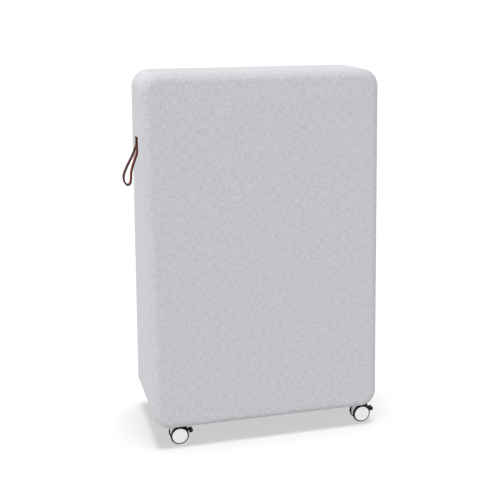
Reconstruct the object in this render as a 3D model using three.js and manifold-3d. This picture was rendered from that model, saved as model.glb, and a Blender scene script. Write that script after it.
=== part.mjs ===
// Rolling partition: an upholstered box, deeper at the foot than at the head, on four braked
// twin-wheel castors, with a leather pull on its left side.
// Millimetres, +Z up. The front faces -Y, the pull is on the -X side, and the floor is z = 0.
import * as THREE from "three";
import { mergeVertices } from "three/addons/utils/BufferGeometryUtils.js";
import Module from "manifold-3d";

const wasm = await Module();
wasm.setup();

// ---------------------------------------------------------------- driving dimensions
const FIT = 0.3; // gap between pieces that touch

// The body, measured over its fabric
const BODY_WIDTH = 1000;
const BODY_HEIGHT = 1478;
const FOOT_DEPTH = 502; // front to back at the underside
const HEAD_DEPTH = 288; // front to back at the top
const CORNER_RADIUS = 69; // corners of the front outline
const EDGE_RADIUS = 33; // rolled edge round the front and the back
const CORNER_STEPS = 6;
const EDGE_STEPS = 5;

// Upholstery
const COVER = 1.5; // fabric thickness
const SEAM_INSET = 26; // from the front or back face to the seam with the side band
const FACE_FOAM = 20; // foam on the front and the back
const SIDE_FOAM = 25; // foam on the sides and the top
const DUST_CLOTH = 0.9;
const CLOTH_RETURN = 45; // how far the side band turns in under the body at each end
const CLOTH_CLEAR = 1; // the dust cloth is cut this far clear of the castor plates

// Box frame
const BASE_BOARD = 24;
const SIDE_BOARD = 18;
const TOP_BOARD = 18;
const FACE_BOARD = 9;
const STIFFENER = 15;
const LOWER_STIFFENER_RISE = 490; // from the base board up to each stiffener
const UPPER_STIFFENER_RISE = 960;

// Castors
const WHEEL_RADIUS = 40;
const WHEEL_WIDTH = 15;
const TREAD = 3.7; // thickness of the tyre
const WHEEL_SIDES = 24;
const TYRE_SHOULDER = 1.8;
const HUB_RECESS_RADIUS = 27;
const HUB_RECESS = 0.7;
const HUB_CHAMFER = 1;
const HUB_WEB = 3; // disc left over the end of the axle
const AXLE_RADIUS = 4;
const TRAIL = 26; // from the swivel axis to the axle
const HOUSING_WIDTH = 27.4;
const HOUSING_RADIUS = 41;
const HOUSING_RISE = 43; // from the axle to the top of the housing
const HOUSING_FLOOR = 14; // from the axle down to the cut edge of the housing
const NECK_REACH = 15; // from the swivel axis to the outside of the neck
const NECK_CORNER = 3;
const KINGPIN_RADIUS = 5.5;
const KINGPIN_LOW = 9; // height of the kingpin's lower end over the axle
const RACE_RADIUS = 12.5;
const RACE = 1.5;
const PLATE_SIZE = 62;
const PLATE = 2.5;
const PLATE_CORNER = 6;
const CASTOR_FROM_SIDE = 83; // swivel axis to the side of the body
const CASTOR_FROM_FACE = 60; // swivel axis to the front or back edge of the foot

// Brake pedal, a rocker; the pivot is placed from the axle, along the trail and up
const PEDAL_PIVOT = [27, 22];
const PEDAL_PIN_RADIUS = 2.5;
const PEDAL_PIN_LENGTH = 26;
const PEDAL_BOSS_RADIUS = 5;
const PEDAL_ARM_WIDTH = 16;
const PEDAL_SLOT_DROP = 25; // from the pivot down to the floor of the slot
// From the pivot, along the trail and up: the middle of the toe, the arm and the release tip
const TOE = [26, -12];
const TOE_RADIUS = 8;
const TOE_WIDTH = 24;
const ARM = [
  [-2, -4.5],
  [24, -19],
  [28, -5],
  [2, 4.5],
];
const RELEASE_TIP = [
  [-3, 1],
  [6, 1],
  [6.5, 15],
  [3.5, 15],
];

// Leather pull
const STRAP = 3.6; // leather thickness
const LAP = 0.2; // the two layers press into each other this far at the tab
const STRAP_WIDTH = 20;
const PULL_HEIGHT = 1201; // from the underside up to the screw
const TAB_LENGTH = 28; // the doubled end that the screw holds; the loop hangs below it
const STRAND_STEPS = 14;
// Each strand of the loop from the tab down to the bend: how far the middle of the leather stands
// off its place in the tab, and how far it has dropped.
const OUTER_STRAND = [
  [0, 0],
  [1.5, 9],
  [13.5, 37],
  [27.5, 65],
  [44.5, 97],
  [56.5, 127],
  [57.5, 151],
  [46.5, 170],
];
const INNER_STRAND = [
  [0, 0],
  [0, 37],
  [9, 63],
  [20, 91],
  [28, 121],
  [31, 147],
  [35, 164],
  [43, 171],
  [50, 170],
];
const SCREW_RADIUS = 2.5;
const SCREW_SHORT = 2; // the point stops this far inside the block
const SCREW_HEAD_RADIUS = 5;
const SCREW_HEAD = 2.2;
const WASHER_RADIUS = 8;
const WASHER = 1.2;
const BLOCK_SIZE = 70;
const BLOCK = 30;

// Drawing
const ROUND_SIDES = 16; // small round bars and bores
const SMALL_CORNER_STEPS = 3;
const THROUGH = 100; // how far a cut runs on past the piece

// ---------------------------------------------------------------- worked out from them
const SKIN = COVER + FIT;
const plateLow = WHEEL_RADIUS + HOUSING_RISE + FIT + RACE + FIT;
const boardLow = plateLow + PLATE + FIT;
const bodyLow = boardLow - SKIN;
const bodyHigh = bodyLow + BODY_HEIGHT;
const boardHigh = boardLow + BASE_BOARD;
const frameHalf = BODY_WIDTH / 2 - SIDE_FOAM;
const frameHigh = bodyHigh - SIDE_FOAM;
const insideHalf = frameHalf - SIDE_BOARD - FIT;
const faceInner = FACE_FOAM + FACE_BOARD + FIT; // inset of what stands between the face boards
const sideFace = -BODY_WIDTH / 2;

function halfDepth(z) {
  const share = (z - bodyLow) / BODY_HEIGHT;
  return FOOT_DEPTH / 2 + ((HEAD_DEPTH - FOOT_DEPTH) / 2) * share;
}

// ---------------------------------------------------------------- solids
function solidOf(geometry) {
  const bare = geometry.clone();
  bare.deleteAttribute("normal");
  bare.deleteAttribute("uv");
  const merged = mergeVertices(bare, 1e-4);
  const triVerts = new Uint32Array(merged.index.array);
  const vertProperties = new Float32Array(merged.attributes.position.array);
  return new wasm.Manifold(new wasm.Mesh({ numProp: 3, vertProperties, triVerts }));
}

function meshOf(name, solid, material) {
  const made = solid.getMesh();
  const geometry = new THREE.BufferGeometry();
  geometry.setAttribute("position", new THREE.BufferAttribute(made.vertProperties, 3));
  geometry.setIndex(new THREE.BufferAttribute(made.triVerts, 1));
  geometry.computeVertexNormals();
  const mesh = new THREE.Mesh(geometry, material);
  mesh.name = name;
  return mesh;
}

const X = new THREE.Vector3(1, 0, 0);
const Y = new THREE.Vector3(0, 1, 0);
const Z = new THREE.Vector3(0, 0, 1);

// A section drawn in (y, z) and run along X
function alongX(shape, x0, x1) {
  const geometry = new THREE.ExtrudeGeometry(shape, { depth: x1 - x0, bevelEnabled: false });
  geometry.applyMatrix4(new THREE.Matrix4().makeBasis(Y, Z, X));
  return solidOf(geometry.translate(x0, 0, 0));
}

// A section drawn in (x, z) and run along Y, centred on y
function alongY(shape, width, y = 0) {
  const geometry = new THREE.ExtrudeGeometry(shape, {
    depth: width,
    bevelEnabled: false,
    curveSegments: SMALL_CORNER_STEPS,
  });
  geometry.rotateX(Math.PI / 2);
  return solidOf(geometry.translate(0, y + width / 2, 0));
}

function box(x0, x1, y0, y1, z0, z1) {
  const geometry = new THREE.BoxGeometry(x1 - x0, y1 - y0, z1 - z0);
  return solidOf(geometry.translate((x0 + x1) / 2, (y0 + y1) / 2, (z0 + z1) / 2));
}

// A round bar along Y, X or Z
function round(axis, radius, from, to, a, b, sides = ROUND_SIDES) {
  const geometry = new THREE.CylinderGeometry(radius, radius, to - from, sides);
  const middle = (from + to) / 2;
  if (axis === "x") geometry.rotateZ(-Math.PI / 2).translate(middle, a, b);
  if (axis === "y") geometry.translate(a, middle, b);
  if (axis === "z") geometry.rotateX(Math.PI / 2).translate(a, b, middle);
  return solidOf(geometry);
}

function polygon(points) {
  return new THREE.Shape(points.map(([a, b]) => new THREE.Vector2(a, b)));
}

function roundedRectangle(x0, y0, x1, y1, r) {
  const shape = new THREE.Shape();
  shape.absarc(x1 - r, y0 + r, r, -Math.PI / 2, 0, false);
  shape.absarc(x1 - r, y1 - r, r, 0, Math.PI / 2, false);
  shape.absarc(x0 + r, y1 - r, r, Math.PI / 2, Math.PI, false);
  shape.absarc(x0 + r, y0 + r, r, Math.PI, Math.PI * 1.5, false);
  shape.closePath();
  return shape;
}

// ---------------------------------------------------------------- the body's form
// The whole body with every face moved in by inset: a rounded slab whose front and back lean
// together towards the top.
function bodyForm(inset) {
  const halfWidth = BODY_WIDTH / 2 - inset;
  const roll = EDGE_RADIUS - inset;
  const outline = roundedRectangle(
    -halfWidth,
    bodyLow + inset,
    halfWidth,
    bodyHigh - inset,
    CORNER_RADIUS - inset,
  );
  const slab = HEAD_DEPTH / 2; // any depth that leaves room for both rolls
  const geometry = new THREE.ExtrudeGeometry(outline, {
    depth: slab,
    curveSegments: CORNER_STEPS,
    bevelThickness: roll,
    bevelSize: roll,
    bevelOffset: -roll,
    bevelSegments: EDGE_STEPS,
  });
  geometry.rotateX(Math.PI / 2).translate(0, slab / 2, 0);
  const place = geometry.attributes.position;
  for (let i = 0; i < place.count; i++) {
    const y = place.getY(i);
    const fromFace = slab / 2 + roll - Math.abs(y);
    place.setY(i, Math.sign(y) * (halfDepth(place.getZ(i)) - inset - fromFace));
  }
  return solidOf(geometry);
}

// The space between two leaning planes: each is a signed inset from the front (-1) or back (+1)
function leaning(x0, x1, z0, z1, front, back) {
  const y = ([side, inset], z) => side * (halfDepth(z) - inset);
  return alongX(
    polygon([
      [y(front, z0), z0],
      [y(back, z0), z0],
      [y(back, z1), z1],
      [y(front, z1), z1],
    ]),
    x0,
    x1,
  );
}

const outside = -EDGE_RADIUS; // an inset that lies clear of the body
const everywhere = [-BODY_WIDTH, BODY_WIDTH, bodyLow - EDGE_RADIUS, bodyHigh + EDGE_RADIUS];

function faceZone(side, inset) {
  if (side < 0) return leaning(...everywhere, [-1, outside], [-1, inset]);
  return leaning(...everywhere, [1, inset], [1, outside]);
}

// ---------------------------------------------------------------- finishes
const finish = (color, roughness, metalness = 0) =>
  new THREE.MeshStandardMaterial({ color, roughness, metalness });
const fabric = finish(0xc4c5c9, 0.95);
const cloth = finish(0x2b2b2d, 0.95);
const foam = finish(0xe8e2c8, 0.9);
const plywood = finish(0xd2b48c, 0.7);
const leather = finish(0x5a2b20, 0.55);
const steel = finish(0xb8babd, 0.35, 1);
const blackPlastic = finish(0x1a1a1b, 0.45);
const whitePlastic = finish(0xf0f0ef, 0.4);
const tyre = finish(0x2a2a2c, 0.8);

const partition = new THREE.Group();
const add = (name, solid, material, to = partition) => to.add(meshOf(name, solid, material));

// ---------------------------------------------------------------- box frame
const castorX = BODY_WIDTH / 2 - CASTOR_FROM_SIDE;
const castorY = FOOT_DEPTH / 2 - CASTOR_FROM_FACE;
const screwZ = bodyLow + PULL_HEIGHT;
const sideX = frameHalf - SIDE_BOARD;
const castors = [
  ["front_left", -1, -1],
  ["front_right", 1, -1],
  ["back_left", -1, 1],
  ["back_right", 1, 1],
];

function baseBoard() {
  const face = [FACE_FOAM + FIT];
  let board = leaning(-frameHalf, frameHalf, boardLow, boardHigh, [-1, ...face], [1, ...face]);
  board = board.intersect(bodyForm(SKIN));
  const hole = KINGPIN_RADIUS + FIT;
  for (const [, sx, sy] of castors) {
    board = board.subtract(round("z", hole, 0, bodyHigh, sx * castorX, sy * castorY));
  }
  return board;
}

function faceBoard(side) {
  const outer = FACE_FOAM + FIT;
  const inner = FACE_FOAM + FACE_BOARD;
  const low = boardHigh + FIT;
  if (side < 0) return leaning(-frameHalf, frameHalf, low, frameHigh, [-1, outer], [-1, inner]);
  return leaning(-frameHalf, frameHalf, low, frameHigh, [1, inner], [1, outer]);
}

function betweenFaces(x0, x1, z0, z1) {
  return leaning(x0, x1, z0, z1, [-1, faceInner], [1, faceInner]);
}

const screwHole = round("x", SCREW_RADIUS + FIT, sideFace - THROUGH, 0, 0, screwZ);
const topLow = frameHigh - TOP_BOARD;
const insideLow = boardHigh + FIT;

function stiffener(rise) {
  const low = boardHigh + rise;
  return betweenFaces(-insideHalf, insideHalf, low, low + STIFFENER);
}

add("base_board", baseBoard(), plywood);
add("top_board", betweenFaces(-frameHalf, frameHalf, topLow, frameHigh), plywood);
add(
  "left_side_board",
  betweenFaces(-frameHalf, -sideX, insideLow, topLow - FIT).subtract(screwHole),
  plywood,
);
add("right_side_board", betweenFaces(sideX, frameHalf, insideLow, topLow - FIT), plywood);
add("front_board", faceBoard(-1), plywood);
add("back_board", faceBoard(1), plywood);
add("lower_stiffener", stiffener(LOWER_STIFFENER_RISE), plywood);
add("upper_stiffener", stiffener(UPPER_STIFFENER_RISE), plywood);

// ---------------------------------------------------------------- foam
const foamForm = bodyForm(SKIN);
const foamEdge = FACE_FOAM + FIT;

function sideFoam(side) {
  const near = side * (frameHalf + FIT);
  const far = side * BODY_WIDTH;
  const zone = leaning(
    Math.min(near, far),
    Math.max(near, far),
    bodyLow - EDGE_RADIUS,
    bodyHigh + EDGE_RADIUS,
    [-1, foamEdge],
    [1, foamEdge],
  );
  return foamForm.intersect(zone);
}

function topFoam() {
  const zone = leaning(
    -frameHalf,
    frameHalf,
    frameHigh + FIT,
    bodyHigh + EDGE_RADIUS,
    [-1, foamEdge],
    [1, foamEdge],
  );
  return foamForm.intersect(zone);
}

add("front_foam", foamForm.intersect(faceZone(-1, FACE_FOAM)), foam);
add("back_foam", foamForm.intersect(faceZone(1, FACE_FOAM)), foam);
add("left_foam", sideFoam(-1).subtract(screwHole), foam);
add("right_foam", sideFoam(1), foam);
add("top_foam", topFoam(), foam);

// ---------------------------------------------------------------- fabric cover
const shell = bodyForm(0).subtract(bodyForm(COVER));
const clothHalfX = BODY_WIDTH / 2 - CLOTH_RETURN;
const clothHalfY = halfDepth(bodyLow) - SEAM_INSET - FIT;

function sideBand() {
  const seam = SEAM_INSET + FIT;
  const band = shell.intersect(leaning(...everywhere, [-1, seam], [1, seam]));
  const gap = clothHalfX + FIT;
  const mouthHigh = bodyLow + CORNER_RADIUS / 2;
  const mouth = box(-gap, gap, -FOOT_DEPTH, FOOT_DEPTH, bodyLow - THROUGH, mouthHigh);
  return band.subtract(mouth).subtract(screwHole);
}

function dustCloth() {
  const low = bodyLow + COVER - DUST_CLOTH;
  let cloth = box(-clothHalfX, clothHalfX, -clothHalfY, clothHalfY, low, bodyLow + COVER);
  const half = PLATE_SIZE / 2 + CLOTH_CLEAR;
  for (const [, sx, sy] of castors) {
    const x = sx * castorX;
    const y = sy * castorY;
    cloth = cloth.subtract(box(x - half, x + half, y - half, y + half, 0, boardHigh));
  }
  return cloth;
}

add("front_cover", shell.intersect(faceZone(-1, SEAM_INSET)), fabric);
add("back_cover", shell.intersect(faceZone(1, SEAM_INSET)), fabric);
add("side_band", sideBand(), fabric);
add("dust_cloth", dustCloth(), cloth);

// ---------------------------------------------------------------- leather pull
const tabLow = screwZ - TAB_LENGTH / 2;
const innerLayer = FIT + STRAP / 2;
const outerLayer = innerLayer + STRAP;

// A strand of leather that starts a layer's distance off the side
function strand(points, layer) {
  const place = ([off, drop]) => new THREE.Vector2(sideFace - layer - off, tabLow - drop);
  const curve = new THREE.SplineCurve(points.map(place));
  const middle = curve.getSpacedPoints(STRAND_STEPS);
  const side = (i, sign) => {
    const along = curve.getTangentAt(i / STRAND_STEPS);
    const half = (sign * STRAP) / 2;
    return [middle[i].x - half * along.y, middle[i].y + half * along.x];
  };
  const count = middle.map((_, i) => i);
  const ribbon = [...count.map((i) => side(i, 1)), ...count.reverse().map((i) => side(i, -1))];
  const shape = polygon(ribbon);
  if (THREE.ShapeUtils.isClockWise(shape.getPoints())) return polygon(ribbon.reverse());
  return shape;
}

function strapLoop() {
  const outer = alongY(strand(OUTER_STRAND, outerLayer - LAP), STRAP_WIDTH);
  const inner = alongY(strand(INNER_STRAND, innerLayer), STRAP_WIDTH);
  const below = box(-BODY_WIDTH, sideFace - FIT, -STRAP_WIDTH, STRAP_WIDTH, bodyLow, tabLow);
  return outer.add(inner).intersect(below);
}

const tabOuter = sideFace - FIT - 2 * STRAP;

function strapTab() {
  const half = STRAP_WIDTH / 2;
  const low = tabLow + FIT;
  const high = tabLow + TAB_LENGTH;
  return box(tabOuter, sideFace - FIT, -half, half, low, high).subtract(screwHole);
}

function strapScrew() {
  const seat = tabOuter - FIT - WASHER - FIT;
  const tip = -insideHalf + BLOCK - SCREW_SHORT;
  const head = round("x", SCREW_HEAD_RADIUS, seat - SCREW_HEAD, seat, 0, screwZ);
  return head.add(round("x", SCREW_RADIUS, seat - SCREW_HEAD / 2, tip, 0, screwZ));
}

function strapWasher() {
  const seat = tabOuter - FIT;
  return round("x", WASHER_RADIUS, seat - WASHER, seat, 0, screwZ).subtract(screwHole);
}

function strapBlock() {
  const half = BLOCK_SIZE / 2;
  const near = -insideHalf;
  return box(near, near + BLOCK, -half, half, screwZ - half, screwZ + half).subtract(screwHole);
}

add("strap_tab", strapTab(), leather);
add("strap_loop", strapLoop(), leather);
add("strap_washer", strapWasher(), steel);
add("strap_screw", strapScrew(), steel);
add("strap_block", strapBlock(), plywood);

// ---------------------------------------------------------------- castors
// Each is drawn about its own swivel axis, with z = 0 at the axle and the wheels trailing to +X.
const nearFace = HOUSING_WIDTH / 2 + FIT;
const farFace = nearFace + WHEEL_WIDTH;

// A turned wheel part on the axle: points are [radius, distance from the castor's middle plane].
// A flat of the polygon faces down, at the stated radius.
function turned(points, side) {
  const grow = 1 / Math.cos(Math.PI / WHEEL_SIDES);
  const profile = points.map(([radius, y]) => new THREE.Vector2(radius * grow, y));
  const geometry = new THREE.LatheGeometry(profile, WHEEL_SIDES, Math.PI / WHEEL_SIDES);
  let solid = solidOf(geometry);
  if (side < 0) solid = solid.mirror([0, 1, 0]);
  return solid.translate([TRAIL, 0, 0]);
}

function hub(side) {
  const rim = WHEEL_RADIUS - TREAD - FIT;
  const bore = AXLE_RADIUS + FIT;
  const boreEnd = farFace - HUB_WEB;
  return turned(
    [
      [0, boreEnd],
      [bore, boreEnd],
      [bore, nearFace],
      [rim, nearFace],
      [rim, farFace - HUB_CHAMFER],
      [rim - HUB_CHAMFER, farFace],
      [HUB_RECESS_RADIUS, farFace],
      [HUB_RECESS_RADIUS - HUB_CHAMFER, farFace - HUB_RECESS],
      [0, farFace - HUB_RECESS],
    ],
    side,
  );
}

function tyreRing(side) {
  const inner = WHEEL_RADIUS - TREAD;
  const near = nearFace + FIT;
  const far = farFace - HUB_CHAMFER;
  return turned(
    [
      [inner, near],
      [WHEEL_RADIUS - TYRE_SHOULDER, near],
      [WHEEL_RADIUS, near + TYRE_SHOULDER],
      [WHEEL_RADIUS, far - TYRE_SHOULDER],
      [WHEEL_RADIUS - TYRE_SHOULDER, far],
      [inner, far],
      [inner, near],
    ],
    side,
  );
}

const pivotX = TRAIL + PEDAL_PIVOT[0];
const pivotZ = PEDAL_PIVOT[1];

function housing() {
  const half = HOUSING_WIDTH / 2;
  const arch = round("y", HOUSING_RADIUS, -half, half, TRAIL, 0, WHEEL_SIDES);
  const neckOutline = roundedRectangle(-NECK_REACH, 0, NECK_REACH, HOUSING_RISE, NECK_CORNER);
  const below = box(-THROUGH, THROUGH, -THROUGH, THROUGH, -THROUGH, -HOUSING_FLOOR);
  const slotHalf = PEDAL_ARM_WIDTH / 2 + FIT;
  const slotStart = pivotX - PEDAL_BOSS_RADIUS - FIT;
  const slotFloor = pivotZ - PEDAL_SLOT_DROP;
  const slot = box(slotStart, TRAIL + THROUGH, -slotHalf, slotHalf, slotFloor, THROUGH);
  return arch
    .add(alongY(neckOutline, HOUSING_WIDTH))
    .subtract(below)
    .subtract(slot)
    .subtract(round("y", AXLE_RADIUS + FIT, -THROUGH, THROUGH, TRAIL, 0))
    .subtract(round("y", PEDAL_PIN_RADIUS + FIT, -THROUGH, THROUGH, pivotX, pivotZ))
    .subtract(round("z", KINGPIN_RADIUS + FIT, KINGPIN_LOW - FIT, THROUGH, 0, 0));
}

function kingpin() {
  const raceLow = HOUSING_RISE + FIT;
  const top = boardHigh - WHEEL_RADIUS - FIT;
  const pin = round("z", KINGPIN_RADIUS, KINGPIN_LOW, top, 0, 0);
  return pin.add(round("z", RACE_RADIUS, raceLow, raceLow + RACE, 0, 0));
}

function topPlate() {
  const half = PLATE_SIZE / 2;
  const low = plateLow - WHEEL_RADIUS;
  const outline = roundedRectangle(-half, -half, half, half, PLATE_CORNER);
  const geometry = new THREE.ExtrudeGeometry(outline, {
    depth: PLATE,
    bevelEnabled: false,
    curveSegments: SMALL_CORNER_STEPS,
  });
  const hole = round("z", KINGPIN_RADIUS + FIT, 0, THROUGH, 0, 0);
  return solidOf(geometry.translate(0, 0, low)).subtract(hole);
}

function axle() {
  const reach = farFace - HUB_WEB - FIT;
  return round("y", AXLE_RADIUS, -reach, reach, TRAIL, 0);
}

// A round toe to press, and a tip over the pivot to release it
function pedal() {
  const fromPivot = (points) => polygon(points.map(([x, z]) => [pivotX + x, pivotZ + z]));
  const bar = (radius, width, x, z) => round("y", radius, -width / 2, width / 2, x, z);
  return alongY(fromPivot(ARM), PEDAL_ARM_WIDTH)
    .add(alongY(fromPivot(RELEASE_TIP), PEDAL_ARM_WIDTH))
    .add(bar(PEDAL_BOSS_RADIUS, PEDAL_ARM_WIDTH, pivotX, pivotZ))
    .add(bar(TOE_RADIUS, TOE_WIDTH, pivotX + TOE[0], pivotZ + TOE[1]))
    .add(bar(PEDAL_PIN_RADIUS, PEDAL_PIN_LENGTH, pivotX, pivotZ));
}

for (const [corner, sx, sy] of castors) {
  const castor = new THREE.Group();
  castor.position.set(sx * castorX, sy * castorY, WHEEL_RADIUS);
  add(`${corner}_plate`, topPlate(), steel, castor);
  add(`${corner}_kingpin`, kingpin(), steel, castor);
  add(`${corner}_housing`, housing(), whitePlastic, castor);
  add(`${corner}_axle`, axle(), steel, castor);
  add(`${corner}_near_hub`, hub(-1), whitePlastic, castor);
  add(`${corner}_near_tyre`, tyreRing(-1), tyre, castor);
  add(`${corner}_far_hub`, hub(1), whitePlastic, castor);
  add(`${corner}_far_tyre`, tyreRing(1), tyre, castor);
  add(`${corner}_brake_pedal`, pedal(), blackPlastic, castor);
  partition.add(castor);
}

// The origin is on the floor, under the middle of the whole object with its pull
const reach = new THREE.Box3().setFromObject(partition);
partition.position.x = -(reach.min.x + reach.max.x) / 2;

export default partition;
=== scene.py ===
"""Rolling partition: an upholstered wedge on castors with a leather pull, dressed in Blender.

Metres, +Z up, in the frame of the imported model: the front faces -Y and the pull is on the -X side.
"""

import math

import bmesh
import bpy
from mathutils import Matrix, Vector, noise


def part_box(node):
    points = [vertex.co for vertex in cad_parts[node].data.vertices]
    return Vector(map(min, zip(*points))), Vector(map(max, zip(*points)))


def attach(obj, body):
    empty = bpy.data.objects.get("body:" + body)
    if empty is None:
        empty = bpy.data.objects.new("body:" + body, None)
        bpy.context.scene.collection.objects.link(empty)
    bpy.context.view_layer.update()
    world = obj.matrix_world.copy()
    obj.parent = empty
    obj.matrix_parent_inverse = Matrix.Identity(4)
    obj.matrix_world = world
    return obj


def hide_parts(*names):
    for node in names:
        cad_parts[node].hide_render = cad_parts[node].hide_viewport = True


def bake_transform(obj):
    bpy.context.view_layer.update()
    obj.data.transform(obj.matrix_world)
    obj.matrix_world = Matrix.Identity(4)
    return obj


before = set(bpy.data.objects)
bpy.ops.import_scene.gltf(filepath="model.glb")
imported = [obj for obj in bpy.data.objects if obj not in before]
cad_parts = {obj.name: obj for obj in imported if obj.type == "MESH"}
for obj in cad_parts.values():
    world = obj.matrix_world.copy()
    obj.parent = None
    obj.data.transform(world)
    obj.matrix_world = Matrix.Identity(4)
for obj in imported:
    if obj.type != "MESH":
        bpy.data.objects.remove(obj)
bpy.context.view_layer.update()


# ---------------------------------------------------------------- box frame
# Boards of birch plywood, glued and screwed into a closed wedge with two shelves that stiffen it.
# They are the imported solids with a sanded, unvarnished face. The block behind the pull is the same.
PLYWOOD = (0.60, 0.43, 0.25)
PLYWOOD_GRAIN = (0.47, 0.31, 0.16)
BOARDS = [
    "base_board",
    "top_board",
    "left_side_board",
    "right_side_board",
    "front_board",
    "back_board",
    "lower_stiffener",
    "upper_stiffener",
    "strap_block",
]


def new_material(name, color, roughness, others=None):
    """A material with one finish; its colour and roughness may get a pattern later"""
    made = bpy.data.materials.new(name)
    made.use_nodes = True
    shader = made.node_tree.nodes["Principled BSDF"]
    shader.inputs["Base Color"].default_value = (*color, 1)
    shader.inputs["Roughness"].default_value = roughness
    for socket, value in (others or {}).items():
        shader.inputs[socket].default_value = value
    return made


def node(material, kind, inputs=None, output=0, **settings):
    """Adds a shader node, sets or links its inputs and gives back one of its outputs"""
    made = material.node_tree.nodes.new("ShaderNode" + kind)
    for name, value in settings.items():
        setattr(made, name, value)
    for name, value in (inputs or {}).items():
        if isinstance(value, bpy.types.NodeSocket):
            material.node_tree.links.new(value, made.inputs[name])
        else:
            made.inputs[name].default_value = value
    return made.outputs[output]


def arithmetic(material, operation, *values):
    """A sum, product or the like of sockets and numbers"""
    return node(material, "Math", dict(enumerate(values)), operation=operation)


def shade(material, name, socket):
    """Feeds one input of the material's shader"""
    shader = material.node_tree.nodes["Principled BSDF"]
    material.node_tree.links.new(socket, shader.inputs[name])


def two_tones(material, share, first, second):
    """The shader's colour goes from first to second as share goes from 0 to 1"""
    inputs = {0: share, 6: (*first, 1), 7: (*second, 1)}
    tone = node(material, "Mix", inputs, output=2, data_type="RGBA")
    shade(material, "Base Color", tone)
    return tone


def relief(material, height, depth):
    """Raises the surface by height, which goes from 0 to 1, times depth in metres"""
    inputs = {"Height": height, "Distance": depth, "Strength": 1.0}
    shade(material, "Normal", node(material, "Bump", inputs))


def stretched(material, place, scale):
    """Coordinates scaled along each axis, so that a pattern on them is drawn out"""
    return node(material, "Mapping", {"Vector": place, "Scale": scale})


def dress(material, names):
    """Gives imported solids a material"""
    for name in names:
        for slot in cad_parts[name].material_slots:
            slot.material = material


plywood = new_material("sanded plywood", PLYWOOD, 0.65)
on_board = node(plywood, "TexCoord", output="Object")
drawn_out = stretched(plywood, on_board, (60, 60, 4))
grain = node(plywood, "TexNoise", {"Vector": drawn_out, "Scale": 1.0, "Detail": 8.0})
two_tones(plywood, grain, PLYWOOD, PLYWOOD_GRAIN)
relief(plywood, grain, 0.0003)
dress(plywood, BOARDS)


# ---------------------------------------------------------------- foam
# Slabs of open-cell foam, glued to the boards on the front, the back, the sides and the top.
# The fabric hides them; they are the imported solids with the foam's pores.
FOAM = (0.80, 0.74, 0.55)
FOAM_PORE = (0.62, 0.55, 0.38)

foam = new_material("open-cell foam", FOAM, 0.95)
on_foam = node(foam, "TexCoord", output="Object")
pores = node(foam, "TexVoronoi", {"Vector": on_foam, "Scale": 900.0})
two_tones(foam, pores, FOAM_PORE, FOAM)
relief(foam, pores, 0.0005)
dress(foam, ["front_foam", "back_foam", "left_foam", "right_foam", "top_foam"])


# ---------------------------------------------------------------- fabric cover
# Pale grey melange wool cloth, pulled tight over the foam. A front and a back panel are sewn to a
# band that runs round the sides and the top and turns in under the foot.
FOOT_DEPTH = 0.502
HEAD_DEPTH = 0.288
BODY_HEIGHT = 1.478
CORNER = 0.069
ROLL = 0.033
SEAM_INSET = 0.026
CLOTH = 0.0015
RETURN = 0.080
FOLD = 0.062
CORNER_ROWS = 6
FIELD = 0.042
GROOVE_ROWS = [0.0, 0.0007, 0.0014, 0.0022, 0.0032, 0.0045, 0.0065, 0.009, 0.013]
GROOVE = 0.0018
GROOVE_HALF = 0.0024
SHOULDER = 0.0010
SHOULDER_FROM_SEAM = 0.006
SHOULDER_HALF = 0.004
PUCKER = 0.0006
PUCKER_REACH = 0.012
PUCKER_PITCH = 0.011
PUCKER_LENGTH = 0.05
WAVER = 0.0004
WAVER_PITCH = 0.16
FACE_CROWN = 0.0022
SIDE_CROWN = 0.0009
YARN = 0.0017
UPRIGHT_SLUBS = (240, 40, 1)
LEVEL_SLUBS = (34, 205, 1)
CLOUDS = (9, 9, 1)
WOOL = (0.55, 0.556, 0.583)
WOOL_DARK = (0.490, 0.496, 0.522)
WOOL_PALE = (0.614, 0.620, 0.647)
FRONT, BACK, BAND, MOUTH = range(4)

band_low, band_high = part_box("side_band")
half_width = (band_high.x - band_low.x) / 2
body_x = (band_high.x + band_low.x) / 2
body_low = band_high.z - BODY_HEIGHT
half_height = BODY_HEIGHT / 2
flat_x = half_width - CORNER
flat_z = half_height - CORNER
seam_angle = math.acos(1 - SEAM_INSET / ROLL)
half_roll = ROLL * math.pi / 4


def half_depth(z):
    """Half the body's depth at a height from its middle"""
    share = 0.5 + z / BODY_HEIGHT
    return (FOOT_DEPTH + (HEAD_DEPTH - FOOT_DEPTH) * share) / 2


def side_row(from_seam):
    """Where a row that lies this far round the cloth from the seam is cut in the square block"""
    from_edge = ROLL * (seam_angle - math.pi / 4) + from_seam
    if from_edge < half_roll:
        return ROLL * from_edge / half_roll
    return ROLL + from_edge - half_roll


def new_box(size, centre=(0, 0, 0)):
    """A bmesh with one box in it"""
    bm = bmesh.new()
    bmesh.ops.create_cube(bm, size=1)
    bmesh.ops.scale(bm, vec=size, verts=bm.verts)
    bmesh.ops.translate(bm, vec=centre, verts=bm.verts)
    return bm


def cut_through(bm, point, normal):
    """Cuts everything in a bmesh where a plane crosses it"""
    everything = bm.verts[:] + bm.edges[:] + bm.faces[:]
    bmesh.ops.bisect_plane(bm, geom=everything, plane_co=point, plane_no=normal)


def cut_square(bm, axis, place):
    """Cuts a bmesh square to an axis, at one place along it"""
    normal = Vector((0, 0, 0))
    normal[axis] = 1
    cut_through(bm, place * normal, normal)


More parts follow.
